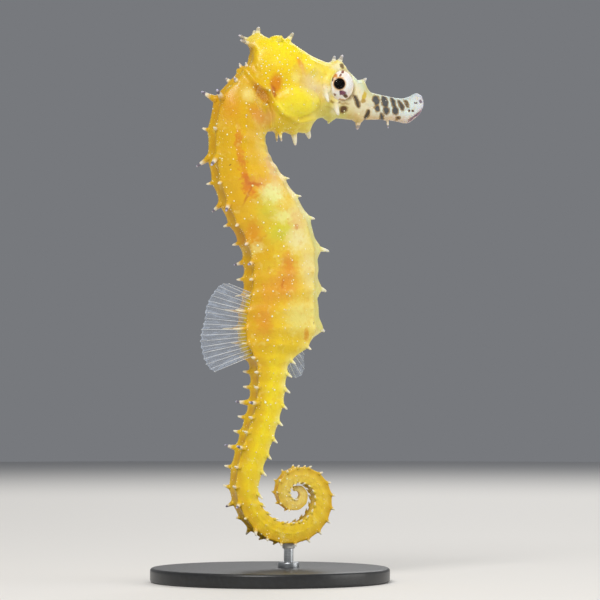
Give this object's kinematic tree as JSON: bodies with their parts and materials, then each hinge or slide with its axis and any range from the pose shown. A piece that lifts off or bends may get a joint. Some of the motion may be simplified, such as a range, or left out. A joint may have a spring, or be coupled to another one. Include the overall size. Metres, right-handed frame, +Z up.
{
  "type": "seahorse",
  "caption": "Thorny yellow seahorse, a still life-size model with coiled tail, long snout, fins and bony rings, held upright by a rod on a plain round display base.",
  "frame": {"origin": "centre of the flat underside of the display base", "axes": "+X the way the snout points, +Y the animal's left, +Z up; the animal's plane of symmetry is y = 0"},
  "size_m": [0.0472, 0.04, 0.0926],
  "materials": {
    "skin": "moist yellow skin over bony plates",
    "snout": "moist pale skin with dark bars",
    "fin": "clear thin membrane on pale rays",
    "eye": "wet eye with a pale blotched iris and a black pupil",
    "base": "satin black",
    "rod": "satin"
  },
  "bodies": {
    "root": {"snout": "snout", "head": "skin", "coronet": "skin", "eye_left": "eye", "eye_right": "eye", "neck": "skin", "trunk": "skin", "tail_1": "skin", "tail_2": "skin", "tail_3": "skin", "tail_4": "skin", "tail_5": "skin", "tail_6": "skin", "tail_7": "skin", "tail_8": "skin", "tail_9": "skin", "tail_10": "skin", "dorsal_fin": "fin", "anal_fin": "fin", "pectoral_fin_left": "fin", "pectoral_fin_right": "fin", "stand_base": "base", "stand_rod": "rod"}
  },
  "joints": []
}
